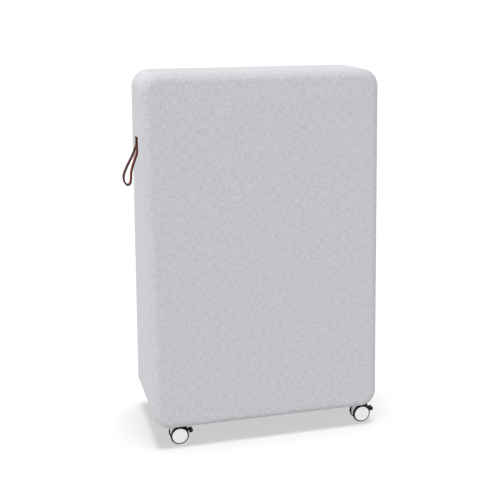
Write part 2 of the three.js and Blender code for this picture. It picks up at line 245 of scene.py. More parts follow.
def cut_block():
    """A square block of the body's size, cut where the cloth needs rows, from the body's middle"""
    bm = new_box((2 * half_width, FOOT_DEPTH, BODY_HEIGHT))
    steps = range(1, CORNER_ROWS + 1)
    edge_rows = [ROLL * i / CORNER_ROWS for i in steps]
    edge_rows += [ROLL + (CORNER - ROLL) * i / CORNER_ROWS for i in steps]
    seam_rows = sorted({side_row(way * row) for row in GROOVE_ROWS for way in (-1, 1)})
    rows = {0: (half_width, edge_rows), 1: (FOOT_DEPTH / 2, seam_rows), 2: (half_height, edge_rows)}
    for axis, (reach, insets) in rows.items():
        inner = reach - insets[-1]
        fields = round(2 * inner / FIELD)
        cuts = [reach - inset for inset in insets] + [inset - reach for inset in insets]
        cuts += [-inner + 2 * inner * i / fields for i in range(1, fields)]
        if axis == 0:
            cuts += [half_width - RETURN, RETURN - half_width]
        if axis == 1:
            cuts += [reach - FOLD, FOLD - reach]
        for cut in cuts:
            cut_square(bm, axis, cut)
    return bm


def name_parts(bm):
    """Marks each face as front, back, band or the mouth that the dust cloth closes"""
    seam_y = FOOT_DEPTH / 2 - side_row(0)
    for face in bm.faces:
        middle = face.calc_center_median()
        under = middle.z < -half_height + ROLL / 9 and abs(face.normal.z) > 0.5
        inside = under and abs(middle.x) < half_width - RETURN
        if abs(middle.y) > seam_y or (inside and abs(middle.y) > FOOT_DEPTH / 2 - FOLD):
            face.material_index = FRONT if middle.y < 0 else BACK
        elif inside:
            face.material_index = MOUTH
        else:
            face.material_index = BAND


def to_outline(x, z):
    """A point of the square front view drawn in to the rounded one: x, z, inset and outward way"""
    a = (abs(x) - flat_x) / CORNER
    b = (abs(z) - flat_z) / CORNER
    way_x = math.copysign(1, x)
    way_z = math.copysign(1, z)
    if a <= 0 and b <= 0:
        return x, z, CORNER, Vector((0, 0))
    if b <= 0:
        return x, z, CORNER * (1 - a), Vector((way_x, 0))
    if a <= 0:
        return x, z, CORNER * (1 - b), Vector((0, way_z))
    ring = max(a, b)
    angle = math.pi / 4 * b / a if a > b else math.pi / 2 - math.pi / 4 * a / b
    way = Vector((way_x * math.cos(angle), way_z * math.sin(angle)))
    x = way_x * flat_x + CORNER * ring * way.x
    z = way_z * flat_z + CORNER * ring * way.y
    return x, z, CORNER * (1 - ring), way


def round_the_band(x, z, way):
    """The length of the band from the middle of the foot, anticlockwise, to this point"""
    inner_x = max(-flat_x, min(flat_x, x))
    inner_z = max(-flat_z, min(flat_z, z))
    angle = math.atan2(way.y, way.x) + math.pi / 2
    if angle < -1e-6 or (angle < 1e-6 and inner_x < 0):
        angle += 2 * math.pi
    if angle < math.pi / 4:
        straight = inner_x
    elif angle < 3 * math.pi / 4:
        straight = flat_x + inner_z + flat_z
    elif angle < 5 * math.pi / 4:
        straight = 2 * flat_x + 2 * flat_z - inner_x
    elif angle < 7 * math.pi / 4:
        straight = 3 * flat_x + 3 * flat_z - inner_z
    else:
        straight = 4 * flat_x + 4 * flat_z + inner_x
    return straight + CORNER * angle


def give(x, z, from_seam, along, corner_share):
    """How far the cloth stands off the true form: it dips at the seam and puckers beside it"""
    height = -GROOVE * math.exp(-((from_seam / GROOVE_HALF) ** 2))
    height += SHOULDER * math.exp(-(((abs(from_seam) - SHOULDER_FROM_SEAM) / SHOULDER_HALF) ** 2))
    fine = noise.noise(Vector((along / PUCKER_PITCH, from_seam / PUCKER_LENGTH, 0)))
    broad = noise.noise(Vector((along / PUCKER_LENGTH, 7.0, z / 0.2)))
    near = math.exp(-abs(from_seam) / PUCKER_REACH)
    height += PUCKER * near * (0.35 + 0.65 * corner_share) * (fine + 0.6 * broad)
    return height + WAVER * noise.noise(Vector((x / WAVER_PITCH, from_seam / 0.3, z / WAVER_PITCH)))


def round_the_roll(on_face, from_face, inset):
    """How far a point is round the rolled edge: 0 on the face, a quarter turn on the side"""
    if not on_face:
        return math.pi / 2 - math.pi / 4 * max(0, ROLL - from_face) / ROLL
    if inset < ROLL:
        return math.pi / 4 * (ROLL - inset) / ROLL
    return 0.0


def crown(place, on_face, under_foot, depth, half):
    """How far tight cloth bows out over the foam"""
    if on_face:
        return FACE_CROWN * (1 - (place.x / half_width) ** 2) * (1 - (place.y / half_height) ** 2)
    if under_foot:
        return 0.0
    return SIDE_CROWN * max(0, 1 - ((half - depth) / half) ** 2)


def shape_block(bm):
    """Rolls and leans the cut block into the body, and lays the cloth's thread directions on it"""
    flat = {}
    for vert in bm.verts:
        x, y, z = vert.co
        from_face = FOOT_DEPTH / 2 - abs(y)
        on_face = from_face <= 1e-6
        x, z, inset, way = to_outline(x, z)
        square = Vector((x, z))
        way_y = math.copysign(1, y)
        angle = round_the_roll(on_face, from_face, inset)
        depth = 0.0 if on_face else from_face
        edge = square + inset * way
        across = edge - ROLL * way
        if from_face < ROLL and inset < ROLL:
            place = across + ROLL * math.sin(angle) * way
            depth = ROLL * (1 - math.cos(angle))
            from_seam = ROLL * (angle - seam_angle)
        else:
            place = square
            from_seam = inset - ROLL * (1 + seam_angle) if on_face else from_face - side_row(0)
        half = half_depth(place.y)
        if from_face > 2 * ROLL:
            span = FOOT_DEPTH / 2 - 2 * ROLL
            depth = 2 * ROLL + (from_face - 2 * ROLL) * (half - 2 * ROLL) / span
        along = round_the_band(edge.x, edge.y, way) if way.length else 0.0
        under_foot = way.y < -0.5
        if under_foot and abs(edge.x) < half_width - RETURN:
            from_seam = 1.0
        corner = max(0, abs(edge.x) - flat_x) * max(0, abs(edge.y) - flat_z)
        corner_share = min(1, 4 * corner / CORNER**2)
        off = crown(square, on_face, under_foot, depth, half)
        off += give(place.x, place.y, from_seam, along, corner_share)
        place = place + off * math.sin(angle) * way
        place_y = way_y * (half - depth + off * math.cos(angle))
        vert.co = (body_x + place.x, place_y, body_low + half_height + place.y)
        wrapped = ROLL * angle + max(0, depth - ROLL)
        cloth = across + wrapped * way if inset < ROLL else square
        flat[vert] = ((cloth.x, cloth.y), (along, place_y))
    threads = bm.loops.layers.uv.new("threads")
    for face in bm.faces:
        banded = face.material_index in (BAND, MOUTH)
        for loop in face.loops:
            loop[threads].uv = flat[loop.vert][1 if banded else 0]


def mesh_of(bm, name):
    """Turns a bmesh into a mesh"""
    mesh = bpy.data.meshes.new(name)
    bm.to_mesh(mesh)
    bm.free()
    return mesh


def show(name, mesh, body, slot, material, replaced=(), smooth=40):
    """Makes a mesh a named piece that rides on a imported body"""
    mesh.materials.append(material)
    mesh.shade_smooth()
    mesh.set_sharp_from_angle(angle=math.radians(smooth))
    made = bpy.data.objects.new(name, mesh)
    bpy.context.scene.collection.objects.link(made)
    if body:
        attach(made, body)
    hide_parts(*replaced)
    return made


def make_piece(name, bm, *rest, **settings):
    """Makes a bmesh a named piece"""
    return show(name, mesh_of(bm, name), *rest, **settings)


def add_copy(bm, mesh, matrix):
    """Adds a placed copy of a small shape to a bmesh"""
    copy = mesh.copy()
    copy.transform(matrix)
    bm.from_mesh(copy)
    bpy.data.meshes.remove(copy)


def wool_cloth():
    """A plain weave of slubby melange yarn, on each panel's own thread directions, with painted shade
    in the weave's hollows
    """
    soft = {"Specular IOR Level": 0.15, "Sheen Weight": 0.06, "Sheen Roughness": 0.5}
    made = new_material("melange wool", WOOL, 0.92, soft)
    on_panel = node(made, "UVMap", uv_map="threads")
    apart = node(made, "SeparateXYZ", {"Vector": on_panel})
    warp = arithmetic(made, "MULTIPLY", apart.node.outputs["X"], 1 / YARN)
    weft = arithmetic(made, "MULTIPLY", apart.node.outputs["Y"], 1 / YARN)

    def threads(across, along, start):
        """Yarns side by side, each of which goes over and under the ones that cross it"""
        wave = arithmetic(made, "SINE", arithmetic(made, "MULTIPLY", across, math.pi))
        ridge = arithmetic(made, "ABSOLUTE", wave)
        shifted = arithmetic(made, "ADD", along, arithmetic(made, "FLOOR", across))
        turn = arithmetic(made, "MULTIPLY_ADD", shifted, math.pi, start)
        over = arithmetic(made, "MULTIPLY_ADD", arithmetic(made, "COSINE", turn), 0.5, 0.5)
        return arithmetic(made, "MULTIPLY", arithmetic(made, "POWER", ridge, 0.6), over)

    def streaks(scale, detail):
        """Uneven stretches, longer one way of the cloth than the other"""
        drawn = stretched(made, on_panel, scale)
        return node(made, "TexNoise", {"Vector": drawn, "Scale": 1.0, "Detail": detail})

    warp_up = threads(warp, weft, -math.pi / 2)
    weft_up = threads(weft, warp, math.pi / 2)
    weave = arithmetic(made, "MAXIMUM", warp_up, weft_up)
    upright = streaks(UPRIGHT_SLUBS, 1.0)
    level = streaks(LEVEL_SLUBS, 1.0)
    slubs = arithmetic(made, "MULTIPLY_ADD", level, 0.8, upright)
    # The weave's height also darkens the colour between the yarns and where a yarn dips under another:
    # painted shade in the weave's hollows.
    slubs_and_weave_shade = arithmetic(made, "MULTIPLY_ADD", weave, 0.18, slubs)
    tone = arithmetic(made, "MULTIPLY_ADD", streaks(CLOUDS, 2.0), 0.05, slubs_and_weave_shade)
    share = node(made, "MapRange", {"Value": tone, "From Min": 0.72, "From Max": 1.28})
    two_tones(made, share, WOOL_DARK, WOOL_PALE)
    relief(made, arithmetic(made, "MULTIPLY_ADD", slubs, 0.7, weave), 0.00035)
    return made


wool = wool_cloth()
block = cut_block()
name_parts(block)
shape_block(block)
for name, part, replaced in (
    ("front_panel", FRONT, "front_cover"),
    ("back_panel", BACK, "back_cover"),
    ("wrap_band", BAND, "side_band"),
):
    cloth = block.copy()
    others = [face for face in cloth.faces if face.material_index != part]
    bmesh.ops.delete(cloth, geom=others, context="FACES")
    for face in cloth.faces:
        face.material_index = 0
    panel = make_piece(name, cloth, "partition", "upholstery_fabric", wool, [replaced], smooth=60)
    thickness = panel.modifiers.new("cloth thickness", "SOLIDIFY")
    thickness.thickness = CLOTH
    thickness.offset = -1
block.free()


# ---------------------------------------------------------------- dust cloth
# Black spun-bonded cloth that closes the foot. Its edge laps the turned-in fabric and is stapled
# through it into the base board, and it is cut out round the castor plates.
LAP = 0.008
DUST_CLOTH = 0.0007
PLATE_GAP = 0.001
DUST_SAG = 0.0022
DUST_CELLS = (36, 18)
HAIR = 0.0001
STAPLE_PITCH = 0.058
STAPLE = Vector((0.0105, 0.0011, 0.0006))
CORNERS = ["front_left", "front_right", "back_left", "back_right"]

foot_z = body_low
cloth_x = half_width - RETURN + LAP
cloth_y = half_depth(-half_height) - FOLD + LAP


def middle_of(name):
    """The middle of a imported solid's box"""
    low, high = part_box(name)
    return (low + high) / 2


def dust_cloth():
    """The flat cloth, cut out round the plates, with a little slack in its middle"""
    bm = bmesh.new()
    bmesh.ops.create_grid(bm, x_segments=DUST_CELLS[0], y_segments=DUST_CELLS[1], size=1)
    bmesh.ops.scale(bm, vec=(cloth_x, cloth_y, 1), verts=bm.verts)
    bmesh.ops.translate(bm, vec=(body_x, 0, foot_z - DUST_CLOTH / 2 - HAIR), verts=bm.verts)
    for corner in CORNERS:
        low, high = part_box(f"{corner}_plate")
        low = low - Vector((PLATE_GAP,) * 3)
        high = high + Vector((PLATE_GAP,) * 3)
        for axis in (0, 1):
            for side in (low, high):
                cut_square(bm, axis, side[axis])
        inside = []
        for face in bm.faces:
            middle = face.calc_center_median()
            if low.x < middle.x < high.x and low.y < middle.y < high.y:
                inside.append(face)
        bmesh.ops.delete(bm, geom=inside, context="FACES")
    for vert in bm.verts:
        slack = (1 - ((vert.co.x - body_x) / cloth_x) ** 2) * (1 - (vert.co.y / cloth_y) ** 2)
        ripple = 0.5 + 0.5 * noise.noise(vert.co * 9)
        vert.co.z -= DUST_SAG * slack * ripple
    return bm


spunbond = new_material("spun-bonded cloth", (0.018, 0.018, 0.02), 0.85)
on_cloth = node(spunbond, "TexCoord", output="Object")
fibres = node(spunbond, "TexNoise", {"Vector": on_cloth, "Scale": 700.0, "Detail": 5.0})
dots = node(spunbond, "TexVoronoi", {"Vector": on_cloth, "Scale": 620.0, "Randomness": 0.15})
two_tones(spunbond, fibres, (0.012, 0.012, 0.013), (0.034, 0.034, 0.037))
relief(spunbond, arithmetic(spunbond, "MULTIPLY_ADD", dots, 1.4, fibres), 0.0002)
under = make_piece("foot_cloth", dust_cloth(), "partition", "dust_cloth", spunbond, ["dust_cloth"])
thickness = under.modifiers.new("cloth thickness", "SOLIDIFY")
thickness.thickness = DUST_CLOTH
thickness.offset = 0


def staple_row():
    """Places and turns of the staples, a hem's width in from the cloth's edge"""
    x = cloth_x - LAP / 2
    y = cloth_y - LAP / 2
    rows = [(Vector((-x, -y)), Vector((x, -y))), (Vector((-x, y)), Vector((x, y)))]
    rows += [(Vector((-x, -y)), Vector((-x, y))), (Vector((x, -y)), Vector((x, y)))]
    for start, end in rows:
        count = round((end - start).length / STAPLE_PITCH)
        for i in range(count):
            place = start.lerp(end, (i + 0.5) / count)
            lean = 0.12 * noise.noise(Vector((place.x * 31, place.y * 17, 3)))
            yield place, math.atan2(end.y - start.y, end.x - start.x) + lean


def bevel_edges(bm, edges, width, segments):
    """Rounds edges of a piece while it is being made"""
    bmesh.ops.bevel(
        bm,
        geom=edges,
        offset=width,
        segments=segments,
        profile=0.5,
        affect="EDGES",
        material=-1,
    )


zinc = new_material("zinc plate", (0.46, 0.46, 0.47), 0.34, {"Metallic": 1.0})
on_zinc = node(zinc, "TexCoord", output="Object")
bloom = node(zinc, "TexNoise", {"Vector": on_zinc, "Scale": 160.0, "Detail": 6.0})
two_tones(zinc, bloom, (0.36, 0.365, 0.385), (0.58, 0.57, 0.545))
shade(zinc, "Roughness", node(zinc, "MapRange", {"Value": bloom, "To Min": 0.24, "To Max": 0.46}))
relief(zinc, node(zinc, "TexNoise", {"Vector": on_zinc, "Scale": 2500.0}), 0.00004)

one_staple = new_box(STAPLE)
bevel_edges(one_staple, one_staple.edges[:], STAPLE.z / 3, 1)
one_staple = mesh_of(one_staple, "one staple")
staples = bmesh.new()
for place, turn in staple_row():
    at = Vector((body_x + place.x, place.y, foot_z - DUST_CLOTH - 2 * HAIR))
    add_copy(staples, one_staple, Matrix.Translation(at) @ Matrix.Rotation(turn, 4, "Z"))
make_piece("staples", staples, "partition", "steel", zinc)


# ---------------------------------------------------------------- leather pull
# A strip of dark brown bridle leather folded into a loop. Its two ends lie one on the other and a
# cup washer and a screw pinch them to the side; the rest hangs open, with burnished cut edges.
STRAP_WIDTH = 0.024
STRAP = 0.0068
PINCHED = 0.0045
STRAP_EDGE = 0.0011
STRAP_STEPS = 90
STRAP_SECTION = 32
BEND_TOP = 0.002
PINCH_RUN = 0.035
LEATHER_DARK = (0.074, 0.018, 0.011)
LEATHER_PALE = (0.130, 0.032, 0.018)
LEATHER_FLESH = (0.25, 0.055, 0.030)
LEATHER_EDGE = (0.052, 0.016, 0.010)
# From the upper end of the inner layer, round the loop, to the upper end of the outer layer:
# how far the middle of the leather stands off the side, and how far it is below the tab.
STRAP_ROUTE = [
    (0.0028, -0.0275),
    (0.0028, -0.0140),
    (0.0028, 0.0000),
    (0.0033, 0.0200),
    (0.0052, 0.0400),
    (0.0130, 0.0630),
    (0.0238, 0.0910),
    (0.0313, 0.1210),
    (0.0331, 0.1470),
    (0.0371, 0.1640),
    (0.0460, 0.1705),
    (0.0560, 0.1660),
    (0.0628, 0.1490),
    (0.0620, 0.1270),
    (0.0500, 0.0970),
    (0.0330, 0.0650),
    (0.0190, 0.0370),
    (0.0092, 0.0110),
    (0.0073, 0.0000),
    (0.0072, -0.0140),
    (0.0074, -0.0215),
    (0.0094, -0.0285),
]

tab_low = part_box("strap_tab")[0]
side_x = band_low.x


def smooth_route(points, steps):
    """Points spaced along a smooth curve through the given ones, each with its direction"""
    points = [points[0], *points, points[-1]]
    dense = []
    for before, start, end, after in zip(points, points[1:], points[2:], points[3:]):
        for i in range(12):
            t = i / 12
            pull = (end - before) / 2 * (t - 2 * t**2 + t**3) + (after - start) / 2 * (t**3 - t**2)
            dense.append(start * (1 - 3 * t**2 + 2 * t**3) + end * (3 * t**2 - 2 * t**3) + pull)
    dense.append(points[-1])
    lengths = [0.0]
    for before, after in zip(dense, dense[1:]):
        lengths.append(lengths[-1] + (after - before).length)
    route = []
    for i in range(steps + 1):
        goal = lengths[-1] * i / steps
        k = next(k for k in range(1, len(dense)) if lengths[k] >= goal - 1e-9)
        share = (goal - lengths[k - 1]) / (lengths[k] - lengths[k - 1])
        way = (dense[k] - dense[k - 1]).normalized()
        route.append((dense[k - 1].lerp(dense[k], share), way))
    return route


def strap_frame(place, way):
    """A matrix that lays the strap's section, thickness along X and width along Y, on the route"""
    thick = Vector((way.z, 0, -way.x))
    laid = Matrix((thick, Vector((0, 1, 0)), way)).transposed().to_4x4()
    return Matrix.Translation(place) @ laid


def strap_thickness(place):
    """The leather is pinched where the screw holds it and full in the loop"""
    share = max(0, min(1, (tab_low.z + BEND_TOP - place.z) / PINCH_RUN))
    return PINCHED + (STRAP - PINCHED) * share * share * (3 - 2 * share)


def strap_section(place, way, corners):
    """The strap's rounded section, laid across the route"""
    frame_there = strap_frame(place, way)
    core_x = strap_thickness(place) / 2 - STRAP_EDGE
    core_y = STRAP_WIDTH / 2 - STRAP_EDGE
    for corner in corners:
        x = math.copysign(core_x, corner.x) + STRAP_EDGE * corner.x
        y = math.copysign(core_y, corner.y) + STRAP_EDGE * corner.y
        yield frame_there @ Vector((x, y, 0))


def pull_out(bm, faces, way):
    """Extrudes faces, moves what has grown and gives back its vertices"""
    grown = bmesh.ops.extrude_face_region(bm, geom=faces)["geom"]
    moved = [part for part in grown if isinstance(part, bmesh.types.BMVert)]
    bmesh.ops.translate(bm, vec=way, verts=moved)
    return moved


def pull_strap():
    """The strap's section, extruded step by step along the route"""
    knots = [Vector((side_x - off, 0, tab_low.z - drop)) for off, drop in STRAP_ROUTE]
    route = smooth_route(knots, STRAP_STEPS)
    bm = bmesh.new()
    cut_edge = bm.verts.layers.float.new("cut_edge")
    flesh = bm.verts.layers.float.new("flesh")
    bmesh.ops.create_circle(bm, cap_ends=True, segments=STRAP_SECTION, radius=1)
    ring = bm.verts[:]
    corners = [vert.co.normalized() for vert in ring]
    for vert, corner in zip(ring, corners):
        vert[cut_edge] = corner.y**2
        vert[flesh] = 1.0 if corner.x > 0 else 0.0
    for vert, spot in zip(ring, strap_section(*route[0], corners)):
        vert.co = spot
    for place, way in route[1:]:
        end = next(face for face in bm.faces if set(face.verts) == set(ring))
        moved = pull_out(bm, [end], (0, 0, 0))
        ring = [min(moved, key=lambda new: (new.co - old.co).length) for old in ring]
        for vert, spot in zip(ring, strap_section(place, way, corners)):
            vert.co = spot
    bmesh.ops.recalc_face_normals(bm, faces=bm.faces)
    return bm


leather = new_material("bridle leather", LEATHER_DARK, 0.5, {"Specular IOR Level": 0.09})
on_leather = node(leather, "TexCoord", output="Object")
creases = node(leather, "TexVoronoi", {"Vector": on_leather, "Scale": 700.0}, feature="SMOOTH_F1")
patches = node(leather, "TexNoise", {"Vector": on_leather, "Scale": 60.0, "Detail": 6.0})
fibre = node(leather, "TexNoise", {"Vector": on_leather, "Scale": 1500.0, "Detail": 4.0})
grain_side = two_tones(leather, patches, LEATHER_DARK, LEATHER_PALE)
flesh_share = node(leather, "Attribute", output="Fac", attribute_name="flesh")
edge_share = node(leather, "Attribute", output="Fac", attribute_name="cut_edge")
with_flesh = {0: flesh_share, 6: grain_side, 7: (*LEATHER_FLESH, 1)}
with_flesh = node(leather, "Mix", with_flesh, output=2, data_type="RGBA")
with_edge = {0: edge_share, 6: with_flesh, 7: (*LEATHER_EDGE, 1)}
shade(leather, "Base Color", node(leather, "Mix", with_edge, output=2, data_type="RGBA"))
nap = node(leather, "MapRange", {"Value": flesh_share, "To Min": 0.42, "To Max": 0.8})
shade(leather, "Roughness", nap)
relief(leather, arithmetic(leather, "MULTIPLY_ADD", fibre, 0.4, creases), 0.00012)

replaced = ["strap_tab", "strap_loop"]
strap = make_piece("pull_strap", pull_strap(), None, "leather", leather, replaced, smooth=50)
# The studio's light wraps round so slim a strap, so that it throws no shadow on the side.
strap.visible_shadow = False
strap.visible_diffuse = False
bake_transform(strap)


# ---------------------------------------------------------------- screw and cup washer
# A zinc-plated wood screw with a hexagon socket in a low domed head, on a turned cup washer that
# keeps the head from pulling through the leather.
WASHER_HOLE = 0.0029
WASHER_RADIUS = 0.0080
WASHER_EDGE = 0.0005
CUP_RADIUS = 0.0062
CUP_MOUTH = 0.0044
HEAD_FLAT = 0.0028
HEAD_BACK = 0.0048
SHANK = 0.0024
SHANK_POINT = 0.006
SOCKET = 0.0017
SOCKET_DEPTH = 0.0014
# The thicker leather holds the washer and the screw this much further out than the solids do.
SWELL = 0.0017
TURNED_STEPS = 48
# The dome of the screw's head: how far behind its top, and how far from its middle.
DOME = [(0.0, HEAD_FLAT), (0.0004, 0.0040), (0.0011, 0.0048), (0.0019, 0.0050)]


def turned(profile, axis, centre, steps=TURNED_STEPS):
    """A solid of revolution; profile holds (distance along the axis, radius) pairs"""
    along = Vector(axis).normalized()
    out = along.orthogonal().normalized()
    bm = bmesh.new()
    ring = [bm.verts.new(Vector(centre) + along * a + out * r) for a, r in profile]
    edges = [bm.edges.new(pair) for pair in zip(ring, ring[1:])]
    bmesh.ops.spin(
        bm,
        geom=ring + edges,
        cent=centre,
        axis=along,
        angle=2 * math.pi,
        steps=steps,
        use_merge=True,
    )
    bmesh.ops.remove_doubles(bm, verts=bm.verts, dist=1e-6)
    bmesh.ops.recalc_face_normals(bm, faces=bm.faces)
    return bm


def round_edges(piece, width, segments=3, angle=35):
    """Breaks the sharp edges of a finished piece"""
    bevel = piece.modifiers.new("broken edges", "BEVEL")
    bevel.width = width
    bevel.segments = segments
    bevel.limit_method = "ANGLE"
    bevel.angle_limit = math.radians(angle)


screw_low, screw_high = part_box("strap_screw")
washer_low, washer_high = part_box("strap_washer")
screw_at = Vector((0, 0, middle_of("strap_screw").z))
for end in (screw_low, washer_low, washer_high):
    end.x -= SWELL
washer = turned(
    [
        (washer_high.x, WASHER_HOLE),
        (washer_high.x, WASHER_RADIUS),
        (washer_high.x - WASHER_EDGE, WASHER_RADIUS),
        (washer_low.x, CUP_RADIUS),
        (washer_low.x, CUP_MOUTH),
        (washer_low.x + WASHER_EDGE, WASHER_HOLE),
        (washer_high.x, WASHER_HOLE),
    ],
    (1, 0, 0),
    screw_at,
)
cup = make_piece("cup_washer", washer, "partition", "steel", zinc, ["strap_washer"])
round_edges(cup, 0.0002, 2)

head = screw_low.x
seat = washer_low.x - HAIR
screw = [(head, 0.0)]
screw += [(head + back, radius) for back, radius in DOME]
screw += [(seat, HEAD_BACK), (seat, SHANK), (screw_high.x - SHANK_POINT, SHANK), (screw_high.x, 0.0)]
screw = turned(screw, (1, 0, 0), screw_at)
cap = [face for face in screw.faces if face.calc_center_median().x < head + 1e-6]
bmesh.ops.dissolve_faces(screw, faces=cap)
screw.faces.ensure_lookup_table()
cap = [face for face in screw.faces if face.calc_center_median().x < head + 1e-6]
bmesh.ops.inset_region(screw, faces=cap, thickness=HEAD_FLAT - SOCKET)
for vert in cap[0].verts:
    around = math.atan2(vert.co.y, vert.co.z - screw_at.z)
    flat_turn = (around + math.pi / 6) % (math.pi / 3) - math.pi / 6
    reach = SOCKET / math.cos(flat_turn)
    vert.co.y = reach * math.sin(around)
    vert.co.z = screw_at.z + reach * math.cos(around)
pull_out(screw, cap, (SOCKET_DEPTH, 0, 0))
make_piece("pull_screw", screw, "partition", "steel", zinc, ["strap_screw"], smooth=30)


# ---------------------------------------------------------------- castor plates and kingpins
# Pressed steel plates, zinc plated, each held up to the base board by four pan-head screws. The
# kingpin is riveted through the plate and carries a ball race above the housing.
SCREW_SPACING = 0.044
PAN_RADIUS = 0.0045
PAN = 0.0024
PAN_RECESS = 0.0011
PAN_RECESS_DEPTH = 0.0012
PAN_STEPS = 16
PLATE_ROUND = 0.006
PIN_RADIUS = 0.0055
RACE_GAP = 0.0003
RACE = 0.0015


def rounded_plate(corner):
    """A plate with its four upright edges rounded"""
    low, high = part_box(f"{corner}_plate")
    bm = new_box(high - low, (low + high) / 2)
    upright = [e for e in bm.edges if abs(e.verts[0].co.z - e.verts[1].co.z) > 1e-5]
    bevel_edges(bm, upright, PLATE_ROUND, 6)
    return bm


pan_profile = [
    (0.0, PAN_RADIUS),
    (-0.0010, PAN_RADIUS),
    (-0.0018, PAN_RADIUS * 0.84),
    (-PAN, PAN_RADIUS * 0.46),
    (-PAN, PAN_RECESS),
    (-PAN + PAN_RECESS_DEPTH, 0.0),
]
pan_head = mesh_of(turned(pan_profile, (0, 0, 1), (0, 0, 0), PAN_STEPS), "pan head")


def pan_heads(corner):
    """The four screws of one plate"""
    middle = middle_of(f"{corner}_plate")
    middle.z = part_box(f"{corner}_plate")[0].z
    heads = bmesh.new()
    for x in (-SCREW_SPACING / 2, SCREW_SPACING / 2):
        for y in (-SCREW_SPACING / 2, SCREW_SPACING / 2):
            add_copy(heads, pan_head, Matrix.Translation(middle + Vector((x, y, 0))))
    return heads


for corner in CORNERS:
    sheet = rounded_plate(corner)
    name = f"{corner}_top_plate"
    plate = make_piece(name, sheet, "partition", "steel", zinc, [f"{corner}_plate"])
    round_edges(plate, 0.0005, 2)
    make_piece(f"{corner}_plate_screws", pan_heads(corner), "partition", "steel", zinc)
    low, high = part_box(f"{corner}_kingpin")
    centre = (low + high) / 2
    race = centre.x - low.x
    race_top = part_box(f"{corner}_plate")[0].z - RACE_GAP
    race_foot = race_top - RACE
    pin = turned(
        [
            (low.z, 0.0),
            (low.z, PIN_RADIUS - 0.0003),
            (low.z + 0.0004, PIN_RADIUS),
            (race_foot, PIN_RADIUS),
            (race_foot, race - 0.0008),
            (race_foot + 0.0007, race),
            (race_top - 0.0003, race),
            (race_top, race - 0.0006),
            (race_top, PIN_RADIUS),
            (high.z, PIN_RADIUS),
            (high.z, 0.0),
        ],
        (0, 0, 1),
        Vector((centre.x, centre.y, 0)),
    )
    make_piece(f"{corner}_king", pin, "partition", "steel", zinc, [f"{corner}_kingpin"], smooth=30)


# ---------------------------------------------------------------- castor housings and axles
# White moulded nylon with a satin skin. The arch follows the wheels, the neck takes the kingpin,
# and a slot in the trailing side takes the brake pedal. The steel axle is pressed through it.
ARCH = 0.0365
ARCH_STEPS = 64
NECK = 0.0085
NECK_BACK = 0.015
NECK_FOOT = 0.002
HOUSING_FLOOR = 0.014
AXLE_HOLE = 0.0043
AXLE_REACH = 0.03
STEM_HOLE = 0.0058
STEM_FLOOR = 0.0087
CUT_REACH = 0.08
SLOT_HALF = 0.0083
SLOT_START = 0.0217
SLOT_FLOOR = -0.003

TRAIL = middle_of("front_left_axle").x - middle_of("front_left_plate").x
axle_z = middle_of("front_left_axle").z


def closed_solid(points, low_y, high_y):
    """An outline in X and Z, given a width along Y"""
    bm = bmesh.new()
    outline = bm.faces.new([bm.verts.new((x, low_y, z)) for x, z in points])
    pull_out(bm, [outline], (0, high_y - low_y, 0))
    bmesh.ops.recalc_face_normals(bm, faces=bm.faces)
    return bm


def carved(mesh, tools):
    """The mesh with each tool's mesh cut away from it"""
    stock = bpy.data.objects.new("stock", mesh)
    bpy.context.scene.collection.objects.link(stock)
    for tool in tools:
        cutter = bpy.data.objects.new("cutter", tool)
        bpy.context.scene.collection.objects.link(cutter)
        cut = stock.modifiers.new("cut", "BOOLEAN")
        cut.operation = "DIFFERENCE"
        cut.solver = "EXACT"
        cut.object = cutter
        bpy.context.view_layer.update()
        evaluated = stock.evaluated_get(bpy.context.evaluated_depsgraph_get())
        result = bpy.data.meshes.new_from_object(evaluated)
        stock.modifiers.remove(cut)
        stock.data = result
        bpy.data.objects.remove(cutter)
    result = stock.data
    bpy.data.objects.remove(stock)
    return result


def arc(radius, start, end, steps):
    """Points of an arc about the origin, from one angle in degrees to another"""
    for i in range(steps + 1):
        angle = math.radians(start + (end - start) * i / steps)
        yield radius * math.cos(angle), radius * math.sin(angle)


def housing_mesh():
    """Drawn from the axle, with the trail along X"""
    half = (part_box("front_left_housing")[1].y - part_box("front_left_housing")[0].y) / 2
    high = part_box("front_left_housing")[1].z - axle_z
    cut = math.degrees(math.asin(HOUSING_FLOOR / ARCH))
    neck_end = math.degrees(math.acos((NECK_BACK - TRAIL) / ARCH))
    outline = list(arc(ARCH, -cut, neck_end, ARCH_STEPS))
    outline += [(NECK_BACK - TRAIL, high), (-NECK - TRAIL, high), (-NECK - TRAIL, NECK_FOOT)]
    outline += [(-ARCH * math.cos(math.radians(cut)), -HOUSING_FLOOR)]
    blank = mesh_of(closed_solid(outline, -half, half), "housing")
    slot = [(SLOT_START, SLOT_FLOOR), (CUT_REACH, SLOT_FLOOR)]
    slot += [(CUT_REACH, CUT_REACH), (SLOT_START, CUT_REACH)]
    slot = mesh_of(closed_solid(slot, -SLOT_HALF, SLOT_HALF), "slot")
    bore = [(-AXLE_REACH, 0.0), (-AXLE_REACH, AXLE_HOLE), (AXLE_REACH, AXLE_HOLE), (AXLE_REACH, 0.0)]
    bore = mesh_of(turned(bore, (0, 1, 0), (0, 0, 0)), "bore")
    stem = [(STEM_FLOOR, 0.0), (STEM_FLOOR, STEM_HOLE), (CUT_REACH, STEM_HOLE), (CUT_REACH, 0.0)]
    stem = mesh_of(turned(stem, (0, 0, 1), (-TRAIL, 0, 0)), "stem")
    return carved(blank, [slot, bore, stem])


def castor_part(corner, part, solid, mesh, body, slot, material, smooth=40):
    """Puts a copy of a part that is drawn from the axle on one corner's castor"""
    mesh = mesh.copy()
    mesh.transform(Matrix.Translation(middle_of(f"{corner}_axle")))
    name = f"{corner}_{part}"
    body = f"{corner}_{body}"
    return show(name, mesh, body, slot, material, [f"{corner}_{solid}"], smooth)


